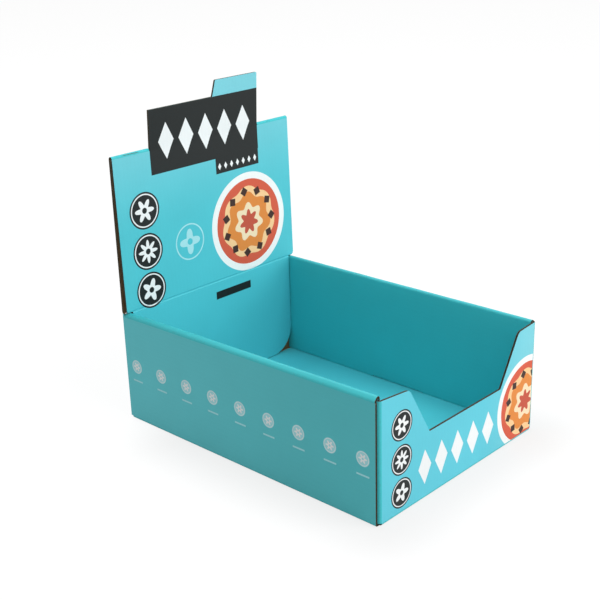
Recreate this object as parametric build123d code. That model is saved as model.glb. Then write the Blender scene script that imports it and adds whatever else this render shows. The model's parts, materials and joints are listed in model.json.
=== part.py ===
from build123d import *
import math
import os

# A counter display box folded from one die-cut sheet of thin corrugated board.
# Millimetres, +Z up, front towards -Y, origin at the middle of the resting face.

# Board
BOARD = 1.5  # thickness of the board
FOLD_RADIUS = 0.5  # inside radius of an ordinary fold
LAYER_GAP = 0.15  # air between two layers that lie side by side
ROLL_LAYERS = 3  # outer wall, corner flap and inner wall under one rolled top

# Tray
TRAY_WIDTH = 169.0  # outside, along X
TRAY_DEPTH = 231.0  # outside, along Y
WALL_HEIGHT = 81.0  # outside, along Z, where nothing springs up
FRONT_RECESS = 1.8  # cut ends of the side walls stand this far behind the front face
BACK_RECESS = 0.3  # and this far behind the back face
BACK_TIP_CLEAR = 0.3  # side walls' back ends stop this far under the header's rear leaf
ROLL_SETBACK = 0.3  # rolled top and inner wall stop this far short of the end folds
FOOT_CLEAR = 0.5  # inner walls end this far above the floor, apart from their tabs
CORNER_FLAP = 60.0  # length of the flaps held between outer and inner side walls
FLAP_CLEAR = 0.6  # room above and below a corner flap

# Rolled tops of the side walls: the inner edge, or lip, springs up in front of the header
ROLL_RADIUS = 1.4  # inside radius of the soft outer edge
LIP_RADIUS = 0.3  # inside radius of the lip
RAMP_LENGTH = 25.0  # stretch at the back over which a top comes up from under the header
LIP_START = 0.5  # rise of both lips at the back end, above a level top
LEFT_LIP_RAMP = 1.8  # rise at the end of the ramp
LEFT_LIP_FRONT = 6.1  # rise at the front end
LEFT_FOLD_FRONT = 2.6  # rise of the left wall's outer edge at the front end
RIGHT_LIP_RAMP = 0.6
RIGHT_LIP_FRONT = 1.5

# Tabs on the inner side walls and their slots in the floor
TAB_LENGTH = 48.0
TAB_SPACING = 96.0  # middle to middle
TAB_LIFT = 0.3  # the tab ends this far above the resting face
SLOT_CLEAR = 0.3  # room round a tab in its slot

# Notch in the front wall, between two unequal posts
NOTCH_DEPTH = 35.7  # from the wall's top down to the notch's level bottom
NOTCH_SIDE_ANGLE = 30.0  # degrees from upright
LEFT_POST = 29.3  # width of the left post along its top
RIGHT_POST = 21.4  # width of the right post along its top
LEFT_POST_RISE = 1.9  # the left post's outer end springs up this far, with the wall beside it
LEFT_POST_SLOPE = 5.5  # degrees by which a post's top falls towards the notch
RIGHT_POST_SLOPE = 4.0
POST_RADIUS = 5.0  # corner between a post's top and the notch's side

# Header: the lid folded in half and tucked back into the tray
LID_SHORTFALL = 3.5  # each leaf is this much shorter than half the tray's depth
FOLD_GAP = 0.4  # air between the two leaves at their fold
FOOT_GAP = 2.6  # air between the two leaves at the lower crease
CREASE_RISE = 0.9  # the front leaf's free lower corners stand this far above the walls
LEAF_CORNER = 2.0  # radius of the front leaf's lower corners
SOFT_RADIUS = 30.0  # gentle bend of the front leaf at its crease and its pop-up
CREASE_WIDTH = 2.0  # pressed groove along a crease that lies flat
CREASE_DEPTH = 0.35
HINGE_CLEAR = 0.3  # running room between the fold and the rear leaf's edge

# Pop-up that stays in line with the front leaf above the fold
POPUP_WIDTH = 103.5
POPUP_RISE = 26.5  # above the fold
POPUP_LEAN = 3.0  # degrees forward from upright
EAR_WIDTH = 44.5  # foot of the raised ear at the pop-up's right end
EAR_RISE = 11.6  # above the pop-up
EAR_SLANT = 2.8  # run of the ear's left side
EAR_RADIUS = 1.0  # upper corners of the ear
WINDOW_CLEAR = 0.5  # room round the pop-up in the rear leaf's window

# Tuck flap that hangs from the front leaf inside the tray
TUCK_SIDE_CLEAR = 0.5  # to each inner side wall
TUCK_FLOOR_CLEAR = 0.5  # to the floor
TUCK_RADIUS = 21.0  # lower corners

OVERRUN = 5.0  # length by which a cut runs past the face it opens

# Sizes that follow from the ones above
half_width = TRAY_WIDTH / 2
half_depth = TRAY_DEPTH / 2
bend = FOLD_RADIUS + BOARD  # outside radius of an ordinary fold
roll_bend = ROLL_RADIUS + BOARD  # outside radius of a rolled top's outer edge
roll_width = ROLL_LAYERS * BOARD + (ROLL_LAYERS - 1) * LAYER_GAP
inner_half = half_width - roll_width  # inner face of a side wall
flap_half = half_width - BOARD - LAYER_GAP  # outer face of a corner flap
panel_half = flap_half - bend  # flat part of the front and back walls
floor_end = half_depth - bend  # where the floor's end folds start
roll_end = floor_end - ROLL_SETBACK
foot_z = BOARD + FOOT_CLEAR  # lower edge of the inner walls
seam_z = WALL_HEIGHT / 2  # level at which a side wall's two stretches meet
tip_top = WALL_HEIGHT - BOARD  # top of a side wall where it runs past its rolled top at the front
fold_top = WALL_HEIGHT + half_depth - LID_SHORTFALL
fold_outer = BOARD + FOLD_GAP / 2  # outside radius of the header's fold
hinge_y = half_depth - fold_outer
hinge_z = fold_top - fold_outer
crease_z = WALL_HEIGHT + CREASE_RISE
popup_top = fold_top + POPUP_RISE
ear_top = popup_top + EAR_RISE
popup_half = POPUP_WIDTH / 2
tuck_half = inner_half - TUCK_SIDE_CLEAR
tuck_foot = BOARD + TUCK_FLOOR_CLEAR


def block(x_range, y_range, z_range):
    """A box between two limits along each axis."""
    size = [high - low for low, high in (x_range, y_range, z_range)]
    middle = [(high + low) / 2 for low, high in (x_range, y_range, z_range)]
    return Pos(*middle) * Box(*size)


def folded(plane, points, radii, length):
    """Board that follows a line of folds, drawn along the board's middle and carried both ways."""
    path = FilletPolyline(*points, radius=radii)
    return extrude(plane * trace(path, BOARD), amount=length, both=True)


def plate(outline, y_range):
    """A flat outline in X and Z, as thick as its Y range."""
    front, back = y_range
    return extrude(Plane.XZ.offset(-back) * outline, amount=back - front)


def rolled_wall(side, stations):
    """Upper outer wall, rolled top and inner wall of one side, ruled from section to section.

    Each station gives a section's place along Y and how far its outer edge and its lip stand above
    a level top.
    """
    outer = half_width - BOARD / 2
    inner = inner_half + BOARD / 2
    top = WALL_HEIGHT - BOARD / 2
    radii = [ROLL_RADIUS + BOARD / 2, LIP_RADIUS + BOARD / 2]
    sections = []
    for place, fold_rise, lip_rise in stations:
        points = [(outer, seam_z), (outer, top + fold_rise), (inner, top + lip_rise), (inner, foot_z)]
        path = FilletPolyline(*[(side * x, z) for x, z in points], radius=radii)
        sections.append((Plane.XZ.offset(-place) * trace(path, BOARD)).face())
    return loft(sections, ruled=True)


def floor_and_sides():
    """The floor, both outer side walls, their rolled tops and the inner walls as one run of board."""
    outer = half_width - BOARD / 2
    corners = [(-outer, seam_z), (-outer, BOARD / 2), (outer, BOARD / 2), (outer, seam_z)]
    run = folded(Plane.XZ, corners, FOLD_RADIUS + BOARD / 2, floor_end)
    ramp_end = roll_end - RAMP_LENGTH
    rises = {
        -1: [(0, LIP_START), (0, LEFT_LIP_RAMP), (LEFT_FOLD_FRONT, LEFT_LIP_FRONT)],
        1: [(0, LIP_START), (0, RIGHT_LIP_RAMP), (0, RIGHT_LIP_FRONT)],
    }
    for side, (back, ramp, front) in rises.items():
        run += rolled_wall(side, [(roll_end, *back), (ramp_end, *ramp), (-roll_end, *front)])
        wall = sorted((side * (half_width - BOARD), side * half_width))
        run += block(wall, (roll_end, half_depth - BACK_RECESS), (bend, WALL_HEIGHT - BACK_TIP_CLEAR))
        run += block(wall, (FRONT_RECESS - half_depth, -roll_end), (bend, tip_top + front[0]))
    return run


def locking_tabs(run):
    """Two tabs on the foot of each inner wall, each in a slot through the floor."""
    for side in (-1, 1):
        for middle in (-TAB_SPACING / 2, TAB_SPACING / 2):
            near = inner_half - SLOT_CLEAR
            far = inner_half + BOARD + SLOT_CLEAR
            slot_x = sorted((side * near, side * far))
            slot_end = TAB_LENGTH / 2 + SLOT_CLEAR
            run -= block(slot_x, (middle - slot_end, middle + slot_end), (-OVERRUN, BOARD))
            tab_x = sorted((side * inner_half, side * (inner_half + BOARD)))
            tab_end = TAB_LENGTH / 2
            run += block(tab_x, (middle - tab_end, middle + tab_end), (TAB_LIFT, foot_z))
    return run


def end_wall(end, corner_top):
    """The front (end -1) or back (end 1) wall with its floor fold, corner folds and corner flaps."""
    flap = flap_half - BOARD / 2
    face = end * (half_depth - BOARD / 2)
    leg = end * (floor_end - ROLL_SETBACK / 2)
    fold = FOLD_RADIUS + BOARD / 2
    turn = FilletPolyline((-flap, leg), (-flap, face), (flap, face), (flap, leg), radius=fold)
    wall = extrude(Plane.XY.offset(bend) * trace(turn, BOARD), amount=corner_top - bend)
    panel_y = sorted((end * (half_depth - BOARD), end * half_depth))
    wall += block((-panel_half, panel_half), panel_y, (bend, WALL_HEIGHT))
    start = 180 if end < 0 else 270
    floor_fold = trace(CenterArc((end * floor_end, bend), fold, start, 90), BOARD)
    wall += extrude(Plane.YZ * floor_fold, amount=panel_half, both=True)
    flap_y = sorted((leg, end * (half_depth - CORNER_FLAP)))
    flap_z = (BOARD + FLAP_CLEAR, WALL_HEIGHT - roll_bend - FLAP_CLEAR)
    for side in (-1, 1):
        flap_x = sorted((side * (flap_half - BOARD), side * flap_half))
        wall += block(flap_x, flap_y, flap_z)
    return wall


def notch_cut():
    """All that is cut away above the two posts and the level bottom of the front notch."""
    lean = math.tan(math.radians(NOTCH_SIDE_ANGLE))
    bottom = WALL_HEIGHT - NOTCH_DEPTH
    sides = []
    left = (-1, LEFT_POST, LEFT_POST_SLOPE, LEFT_POST_RISE)
    right = (1, RIGHT_POST, RIGHT_POST_SLOPE, 0)
    for side, post, slope, rise in (left, right):
        mouth = half_width - post
        fall = math.tan(math.radians(slope))
        past = ((flap_half - mouth) * fall - rise) / (1 - lean * fall)
        shoulder = (side * (mouth - past * lean), WALL_HEIGHT - past)
        foot = (side * (mouth - NOTCH_DEPTH * lean), bottom)
        sides.append((shoulder, foot))
    (left_shoulder, left_foot), (right_shoulder, right_foot) = sides
    high = WALL_HEIGHT + LEFT_POST_RISE + OVERRUN
    wide = flap_half + OVERRUN
    points = [
        (-wide, high),
        (-wide, WALL_HEIGHT + LEFT_POST_RISE),
        (-flap_half, WALL_HEIGHT + LEFT_POST_RISE),
        left_shoulder,
        left_foot,
        right_foot,
        right_shoulder,
        (flap_half, WALL_HEIGHT),
        (wide, WALL_HEIGHT),
        (wide, high),
    ]
    radii = [0, 0, 0, POST_RADIUS, 0, 0, POST_RADIUS, 0, 0, 0]
    outline = make_face(FilletPolyline(*points, radius=radii, close=True))
    return plate(outline, (-half_depth - OVERRUN, -roll_end))


def window_outline():
    """The pop-up's outline turned down about the hinge, with room all round."""
    right = popup_half + WINDOW_CLEAR
    sill = 2 * hinge_z - popup_top - WINDOW_CLEAR
    ear_sill = 2 * hinge_z - ear_top - WINDOW_CLEAR
    ear_left = popup_half - EAR_WIDTH - WINDOW_CLEAR
    points = [
        (-right, fold_top),
        (-right, sill),
        (ear_left, sill),
        (ear_left + EAR_SLANT, ear_sill),
        (right, ear_sill),
        (right, fold_top),
    ]
    return make_face(Polyline(*points, close=True))


def rear_leaf():
    """The header's rear leaf, in line with the back wall, with the window its pop-up leaves."""
    leaf_y = (half_depth - BOARD, half_depth)
    leaf = block((-half_width, half_width), leaf_y, (WALL_HEIGHT, hinge_z))
    leaf -= plate(window_outline(), (half_depth - BOARD - OVERRUN, half_depth + OVERRUN))
    sweep = Cylinder(fold_outer + HINGE_CLEAR, TRAY_WIDTH + OVERRUN, rotation=(0, 90, 0))
    return leaf - Pos(0, hinge_y, hinge_z) * sweep


def crease_groove(face_y, outward, height):
    """The round-bottomed groove that a creasing rule presses along X into the printed face."""
    radius = (CREASE_WIDTH**2 / 4 + CREASE_DEPTH**2) / (2 * CREASE_DEPTH)
    middle = face_y + outward * (radius - CREASE_DEPTH)
    rule = Cylinder(radius, TRAY_WIDTH + OVERRUN, rotation=(0, 90, 0))
    return Pos(0, middle, height) * rule


def tray():
    """Everything that stays still: the tray with the rear leaf standing on its back wall."""
    sheet = locking_tabs(floor_and_sides())
    sheet += end_wall(-1, WALL_HEIGHT + LEFT_POST_RISE) - notch_cut()
    sheet += end_wall(1, WALL_HEIGHT - CREASE_RISE)
    sheet += rear_leaf()
    return sheet - crease_groove(half_depth, 1, WALL_HEIGHT)


def front_outline():
    """Front view of the tuck flap, the front leaf, the pop-up and its ear."""
    ear_left = popup_half - EAR_WIDTH
    corners = [
        ((-tuck_half, tuck_foot), TUCK_RADIUS),
        ((tuck_half, tuck_foot), TUCK_RADIUS),
        ((tuck_half, crease_z), 0),
        ((half_width, crease_z), LEAF_CORNER),
        ((half_width, hinge_z), 0),
        ((popup_half, hinge_z), 0),
        ((popup_half, ear_top), EAR_RADIUS),
        ((ear_left + EAR_SLANT, ear_top), EAR_RADIUS),
        ((ear_left, popup_top), 0),
        ((-popup_half, popup_top), 0),
        ((-popup_half, hinge_z), 0),
        ((-half_width, hinge_z), 0),
        ((-half_width, crease_z), LEAF_CORNER),
        ((-tuck_half, crease_z), 0),
    ]
    points = [point for point, radius in corners]
    radii = [radius for point, radius in corners]
    return make_face(FilletPolyline(*points, radius=radii, close=True))


def header_front():
    """The front leaf with its pop-up and tuck flap: one run of board, cut to its outline."""
    leaf_y = hinge_y - fold_outer + BOARD / 2
    tuck_y = half_depth - BOARD - FOOT_GAP - BOARD / 2
    rise = ear_top + OVERRUN - hinge_z
    top_y = leaf_y - rise * math.tan(math.radians(POPUP_LEAN))
    points = [(tuck_y, 0), (tuck_y, crease_z), (leaf_y, hinge_z), (top_y, hinge_z + rise)]
    run = folded(Plane.YZ, points, SOFT_RADIUS, half_width + OVERRUN)
    sheet = run & plate(front_outline(), (tuck_y - half_depth, half_depth + OVERRUN))
    bead_start = popup_half + WINDOW_CLEAR
    bead_length = half_width - bead_start
    for side in (-1, 1):
        bead = Cylinder(fold_outer, bead_length, rotation=(0, 90, 0))
        sheet += Pos(side * (bead_start + bead_length / 2), hinge_y, hinge_z) * bead
    return sheet - crease_groove(tuck_y - BOARD / 2, -1, crease_z)


os.makedirs("parts", exist_ok=True)
for name, shape in (("tray", tray()), ("header_front", header_front())):
    export_step(shape, "parts/" + name + ".step")
    print(name, len(shape.solids()), "solid", round(shape.volume), "mm3", shape.bounding_box())
print("hinge at y", hinge_y, "z", hinge_z)
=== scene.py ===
# %% [markdown]
# # A counter display box folded from one sheet of board
#
# The real box is one die-cut sheet of thin corrugated board. Two paper skins, the liners, hold a
# wavy middle paper, and the sheet is printed, cut and folded by hand. The solid model already has
# every fold at its real size. This script draws the same sheet again as thin board whose cut edges
# show the wave between the liners, prints it, and photographs it on a white table.

# %% Load the solid model as the frame
import json
import math

import bpy
import numpy as np
from mathutils import Matrix, Vector


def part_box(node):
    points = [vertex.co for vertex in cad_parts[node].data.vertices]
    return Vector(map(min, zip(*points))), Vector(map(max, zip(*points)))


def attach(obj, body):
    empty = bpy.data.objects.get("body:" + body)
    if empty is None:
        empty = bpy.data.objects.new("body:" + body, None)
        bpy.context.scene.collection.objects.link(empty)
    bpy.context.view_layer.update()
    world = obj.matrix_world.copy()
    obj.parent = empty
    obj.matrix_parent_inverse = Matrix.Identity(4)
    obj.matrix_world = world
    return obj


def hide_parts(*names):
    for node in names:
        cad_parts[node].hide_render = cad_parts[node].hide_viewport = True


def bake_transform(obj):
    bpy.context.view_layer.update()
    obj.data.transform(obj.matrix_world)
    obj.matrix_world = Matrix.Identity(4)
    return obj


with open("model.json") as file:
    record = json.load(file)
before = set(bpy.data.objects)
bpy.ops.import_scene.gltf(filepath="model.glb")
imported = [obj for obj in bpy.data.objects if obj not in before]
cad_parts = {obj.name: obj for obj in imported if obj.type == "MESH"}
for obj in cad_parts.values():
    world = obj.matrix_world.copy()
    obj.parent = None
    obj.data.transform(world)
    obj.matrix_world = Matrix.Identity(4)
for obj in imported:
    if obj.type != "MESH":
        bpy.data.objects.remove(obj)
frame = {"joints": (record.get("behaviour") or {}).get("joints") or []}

scene = bpy.context.scene
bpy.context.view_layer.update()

# %% [markdown]
# ## Sizes
#
# Shapes are worked out in millimetres and become metres only when a mesh is made. The outer limits
# and the hinge are read from the frame, so the drawing cannot drift away from the solids. The board,
# its folds and the cuts are repeated here by name, because the frame holds only finished shapes.

# %% Sizes of the board, the tray and the header
MM = 0.001
tray_high = np.round(np.array(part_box("tray")[1]) / MM, 2)
leaf_low, leaf_high = (np.round(np.array(corner) / MM, 2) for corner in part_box("header_front"))
hinge_y, hinge_z = (round(place / MM, 3) for place in frame["joints"][0]["pos_m"][1:])

BOARD = 1.5  # thickness of the board
FOLD_RADIUS = 0.5  # inside radius of an ordinary fold
ROLL_RADIUS = 1.4  # inside radius of the soft outer edge of a rolled wall top
LIP_RADIUS = 0.3  # inside radius of its inner edge, the lip
LAYER_GAP = 0.15  # air between two layers that lie side by side
WALL_HEIGHT = 81.0
half_width, half_depth = tray_high[:2]
fold_middle = FOLD_RADIUS + BOARD / 2  # radius of a fold along the board's middle
roll_middle, lip_middle = ROLL_RADIUS + BOARD / 2, LIP_RADIUS + BOARD / 2
bend, roll_bend = FOLD_RADIUS + BOARD, ROLL_RADIUS + BOARD  # outside radii
floor_end = half_depth - bend  # where the floor's end folds start
print("tray", 2 * half_width, "by", 2 * half_depth, "mm, hinge at", hinge_y, hinge_z)

# %% [markdown]
# ## Camera
#
# The photograph looks down on the front left corner with a long lens. The place, the two angles and
# the small roll were solved from the box's straight edges, so the camera is set from those numbers
# rather than aimed at a target by eye.

# %% Camera at the photograph's angle
CAMERA_PLACE = Vector((-0.5332, -0.4841, 0.3654))
AZIMUTH = math.radians(-46.41)
ELEVATION = math.radians(20.66)
ROLL = math.radians(-1.71)
SENSOR, LENS = 36.0, 67.63  # millimetres

back = Vector((math.sin(AZIMUTH), -math.cos(AZIMUTH), math.tan(ELEVATION))).normalized()
right = Vector((math.cos(AZIMUTH), math.sin(AZIMUTH), 0))
axes = Matrix((right, back.cross(right), back)).transposed()
camera = bpy.data.objects.new("camera", bpy.data.cameras.new("camera"))
camera.data.sensor_width, camera.data.lens = SENSOR, LENS
camera.matrix_world = Matrix.Translation(CAMERA_PLACE) @ (Matrix.Rotation(ROLL, 3, back) @ axes).to_4x4()
scene.collection.objects.link(camera)
scene.camera = camera
print("camera stands", round(CAMERA_PLACE.length, 3), "m from the middle of the box's foot")

# %% [markdown]
# ## Node helpers
#
# Materials here are networks of small sums, and built node by node they would be hard to follow. So a
# node's output is wrapped as a number that can stand in a formula: each sign in the formula then adds
# the Math node that does it. A few short helpers place nodes, make ramps and mix colours.

# %% Nodes, and outputs that can stand in a formula
class Number:
    """An output that adds, subtracts, multiplies and divides like a number, with a node for each sign."""

    def __init__(self, socket):
        self.socket = socket
        self.tree = socket.id_data

    def __add__(self, other):
        return calc("ADD", self, other)

    def __sub__(self, other):
        return calc("SUBTRACT", self, other)

    def __rsub__(self, other):
        return calc("SUBTRACT", other, self)

    def __mul__(self, other):
        return calc("MULTIPLY", self, other)

    def __truediv__(self, other):
        return calc("DIVIDE", self, other)

    def __abs__(self):
        return calc("ABSOLUTE", self)


def feed(socket, value):
    """Links an output or a number to the socket, or sets a plain value on it."""
    value = value.socket if isinstance(value, Number) else value
    if isinstance(value, bpy.types.NodeSocket):
        socket.id_data.links.new(value, socket)
    else:
        socket.default_value = value


def put(tree, kind, sockets=None, **settings):
    """Adds a node of one kind, with its settings and its filled sockets."""
    node = tree.nodes.new("ShaderNode" + kind)
    for name, value in settings.items():
        setattr(node, name, value)
    for name, value in (sockets or {}).items():
        feed(node.inputs[name], value)
    return node


def numbers(node):
    """A node's outputs by name, as numbers."""
    return {socket.name: Number(socket) for socket in node.outputs}


def tree_of(values):
    """The tree of the first number among the values."""
    return next(value.tree for value in values if isinstance(value, Number))


def calc(operation, *values):
    """One arithmetic step, in the tree of the numbers that it takes."""
    return Number(put(tree_of(values), "Math", dict(enumerate(values)), operation=operation).outputs[0])


# %% Ramps and colours
MIX_FIRST, MIX_SECOND, MIX_RESULT = 6, 7, 2  # a Mix node's colour sockets


def ramp(value, start, stop, low=0.0, high=1.0, bend="LINEAR"):
    """Low at the start and before it, high at the stop and after it, an even or soft way between."""
    sockets = {"Value": value, "From Min": start, "From Max": stop, "To Min": low, "To Max": high}
    return Number(put(value.tree, "MapRange", sockets, interpolation_type=bend).outputs[0])


def mix(factor, first, second, blend="MIX"):
    """The first colour where factor is 0, and the second, or their blend, where it is 1."""
    sockets = {"Factor": factor, MIX_FIRST: first, MIX_SECOND: second}
    node = put(tree_of((factor, second)), "Mix", sockets, data_type="RGBA", blend_type=blend)
    return Number(node.outputs[MIX_RESULT])


def srgb(red, green, blue):
    """A colour given as screen values from 0 to 255, as the linear colour that shaders use."""
    screen = np.array([red, green, blue]) / 255
    linear = np.where(screen > 0.04045, ((screen + 0.055) / 1.055) ** 2.4, screen / 12.92)
    return (*linear.tolist(), 1.0)


# %% [markdown]
# ## Floor and light
#
# The photograph is a plain product shot: white all round, very faint shadows, and the light mostly
# from the front, so that the left side is in shade. A large soft lamp high in front, a second one high
# at the back that lights the floor of the tray, a weak one low at the right for the front wall, and a
# pale surrounding give that. The white of the background is painted for camera rays only, so it does
# not push more light onto the box.

# %% White surround
SURROUND = 0.54  # light that reaches the box from all sides


def seen_directly(tree):
    """1 for rays that look straight, mirrored or through glass at the background, 0 for light."""
    rays = numbers(put(tree, "LightPath"))
    mirrored = calc("MAXIMUM", rays["Is Glossy Ray"], rays["Is Transmission Ray"])
    return calc("MAXIMUM", rays["Is Camera Ray"], mirrored)


world = bpy.data.worlds.new("white_surround")
world.use_nodes = True
surround = world.node_tree.nodes["Background"].inputs
feed(surround["Color"], (1, 1, 1, 1))
feed(surround["Strength"], ramp(seen_directly(world.node_tree), 0.0, 1.0, SURROUND, 1.0))
scene.world = world

# %% White floor with a faint shadow, partly cast and partly painted
FLOOR_HALF = 6.0  # metres
FLOOR_DROP = 0.0001  # keeps the floor just below the board
FLOOR_GREY = 0.5  # how much light the floor throws back onto the box
FLOOR_SEEN = 0.12  # how much of its own light the camera sees, which keeps the shadows faint
FLOOR_GLOW = 0.9  # lifts the floor to white for the camera
# painted shade: the floor's white is lowered right beside the box, over and above the cast shadow
SHADE_LOSS = 0.1  # part of that lift which is lost right beside the box
SHADE_REACH = 0.055  # metres from the box over which the shade fades out
SHADE_SHIFT = 30.0  # millimetres from the box's middle forward to the middle of its shade
corners = np.array([[-1, -1, 0], [1, -1, 0], [1, 1, 0], [-1, 1, 0]]) * FLOOR_HALF
floor_mesh = bpy.data.meshes.new("floor")
floor_mesh.from_pydata((corners - [0, 0, FLOOR_DROP]).tolist(), [], [[0, 1, 2, 3]])
floor = bpy.data.objects.new("floor", floor_mesh)
scene.collection.objects.link(floor)

paper = bpy.data.materials.new("white_table")
paper.use_nodes = True
tree = paper.node_tree
tree.nodes.remove(tree.nodes["Principled BSDF"])
seen = seen_directly(tree)
matt = put(tree, "BsdfDiffuse", {"Color": ramp(seen, 0.0, 1.0, FLOOR_GREY, FLOOR_SEEN)})
x, y, z = numbers(put(tree, "SeparateXYZ", {0: put(tree, "TexCoord").outputs["Object"]})).values()
past_x = calc("MAXIMUM", abs(x) - half_width * MM, 0.0)
past_y = calc("MAXIMUM", abs(y + SHADE_SHIFT * MM) - (half_depth - SHADE_SHIFT) * MM, 0.0)
away = calc("SQRT", past_x * past_x + past_y * past_y)
# painted shadow round the box's foot, taken off the white that the camera sees
shade = ramp(away, 0.0, SHADE_REACH, SHADE_LOSS, 0.0, bend="SMOOTHSTEP")
glow = put(tree, "Emission", {"Strength": seen * (FLOOR_GLOW - shade)})
both = put(tree, "AddShader", {0: matt.outputs[0], 1: glow.outputs[0]})
feed(tree.nodes["Material Output"].inputs["Surface"], both.outputs[0])
floor_mesh.materials.append(paper)
print("floor", 2 * FLOOR_HALF, "m wide, drawn with", len(tree.nodes), "nodes")

# %% Three soft lamps
LAMP_AT = Vector((0.0, 0.0, 0.12))  # the lamps face this point


def soft_lamp(name, place, size, energy):
    """A round lamp that faces the box."""
    lamp = bpy.data.objects.new(name, bpy.data.lights.new(name, "AREA"))
    lamp.data.shape = "DISK"
    lamp.data.size = size
    lamp.data.energy = energy
    lamp.location = place
    lamp.rotation_mode = "QUATERNION"
    lamp.rotation_quaternion = (LAMP_AT - lamp.location).to_track_quat("-Z", "Y")
    scene.collection.objects.link(lamp)
    print(name, "stands", round((LAMP_AT - lamp.location).length, 2), "m away")


soft_lamp("high_front_lamp", (0.229, -1.299, 2.004), size=1.4, energy=24)
soft_lamp("low_right_lamp", (0.689, -1.194, 0.363), size=0.8, energy=7)
soft_lamp("back_lamp", (0.2, 1.133, 2.112), size=1.4, energy=17)
scene.view_settings.view_transform = "Standard"

# %% [markdown]
# ## A folded line
#
# Seen end on, the sheet is a line of straight runs joined by small arcs. A fold could be made with a
# bevel on a sharp corner, but then its radius would depend on the mesh. Working the arcs out keeps
# the real radius and also gives the normal at each point, which is what the thickness grows along.

# %% Stations along a line
TINY = 1e-6  # of a step, so that rounding adds none


def stations(breaks, step):
    """Every break in rising order, with even steps between them that are no longer than step."""
    breaks = sorted(breaks)
    counts = np.ceil(np.diff(breaks) / step - TINY).astype(int)
    spans = [np.linspace(a, b, n + 1)[:-1] for a, b, n in zip(breaks, breaks[1:], counts)]
    return np.append(np.concatenate(spans), breaks[-1])


# %% A line of runs and arcs
ARC_STEPS = 6  # flat steps in one fold


def folded_line(corners, radius, places):
    """A line through the corners with each inner corner rounded.

    A run's points lie at start + share * reach * direction, where reach is the run's length between
    its two arcs and the shares are its places divided by the last of them. An arc's points are
    centre + radius * (sin a, -cos a) while the heading a goes from one run's heading to the next. The
    outward normal is to the right of travel. A cell between two points is labelled 2k on run k and
    2k + 1 on the arc after it. Points inside an arc are marked as bent, and the length is counted from
    the middle of the line.
    """
    corners = np.array(corners, float)
    radius = np.broadcast_to(radius, len(corners) - 2)
    steps = np.diff(corners, axis=0)
    ways = steps / np.linalg.norm(steps, axis=1, keepdims=True)
    heading = np.unwrap(np.arctan2(ways[:, 1], ways[:, 0]))
    turns = np.diff(heading)
    cut = np.concatenate([[0], radius * np.tan(np.abs(turns) / 2), [0]])
    points, angles, labels, bent = [], [], [], []
    for k, way in enumerate(ways):
        start = corners[k] + way * cut[k]
        reach = np.linalg.norm(steps[k]) - cut[k] - cut[k + 1]
        points.append(start + (places[k] / places[k][-1] * reach)[:, None] * way)
        angles.append(np.full(len(places[k]), heading[k]))
        labels.append(np.full(len(places[k]) - 1, 2 * k))
        bent.append(np.zeros(len(places[k])))
        if k < len(turns):
            arc = heading[k] + turns[k] * np.arange(1, ARC_STEPS) / ARC_STEPS
            side = np.sign(turns[k]) * radius[k]
            centre = points[-1][-1] + side * np.array([-way[1], way[0]])
            points.append(centre + side * np.stack([np.sin(arc), -np.cos(arc)], axis=1))
            angles.append(arc)
            labels.append(np.full(ARC_STEPS, 2 * k + 1))
            bent.append(np.ones(len(arc)))
    points, angles, labels, bent = (np.concatenate(a) for a in (points, angles, labels, bent))
    normals = np.stack([np.sin(angles), -np.cos(angles)], axis=1)
    length = np.append(0, np.cumsum(np.linalg.norm(np.diff(points, axis=0), axis=1)))
    return points, normals, labels, bent, length - length[-1] / 2


# %% [markdown]
# ## Board with real cut edges
#
# A solid slab would give the cut edges a flat face. On the real sheet a cut shows two liners, the
# wave of the middle paper, and dark hollows between them. Bump can't make a hollow, so the edge is
# modelled: a ladder of points climbs from the inside liner to the outside liner, and the points
# between the papers step back into the board. Where a cut runs across the flutes the wave shows, and
# where it runs along them the hollows become grooves, from the one formula.

# %% Rungs up a cut edge
PITCH = 3.3  # one full wave of the middle paper
LINER_SHARE = 0.15  # of the board's thickness
MEDIUM_SHARE = 0.055  # half the middle paper, of the board's thickness
STEP_SHARE = 0.012  # slope of a hollow's sides
HOLLOW = 1.2  # depth of the hollows in a cut edge
SHALLOW = 0.06  # depth left where the wave touches a liner
ROOM_SHARE = 0.2  # of the thickness between wave and liner, for a hollow of full depth


def cut_ladder(flute):
    """Heights and depths of the ten rungs up a cut edge, for each place across the flutes.

    The wave is w = 1/2 + swing * sin(2 pi * flute / pitch), as a share of the thickness. The rungs are
    the inside liner, a hollow up to the wave, the wave itself, a hollow above it and the outside liner.
    """
    swing = 0.5 - LINER_SHARE - MEDIUM_SHARE - 3 * STEP_SHARE
    wave = 0.5 + swing * np.sin(2 * np.pi * flute / PITCH)
    low, high = wave - MEDIUM_SHARE, wave + MEDIUM_SHARE
    top = 1 - LINER_SHARE
    liner, upper_liner = (0.0, LINER_SHARE, LINER_SHARE + STEP_SHARE), (top - STEP_SHARE, top, 1.0)
    medium = (low - STEP_SHARE, low, high, high + STEP_SHARE)
    rungs = np.broadcast_arrays(*liner, *medium, *upper_liner)
    below, above = (
        np.clip(room / ROOM_SHARE, 0, 1) * (HOLLOW - SHALLOW) + SHALLOW
        for room in (low - LINER_SHARE, top - high)
    )
    depths = np.broadcast_arrays(0.0, 0.0, below, below, 0.0, 0.0, above, above, 0.0, 0.0)
    return np.stack(rungs), np.stack(depths)


# %% One stretch of board from a grid of points
STRAIGHT = 1.9  # two unit vectors that add up to more than this are nearly in line
OUTSIDE, INSIDE, CUT = 0, 1, 2  # finishes, in the order of a piece's materials


def unit(vectors):
    """Each vector divided by its own length."""
    return vectors / np.linalg.norm(vectors, axis=-1, keepdims=True)


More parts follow.
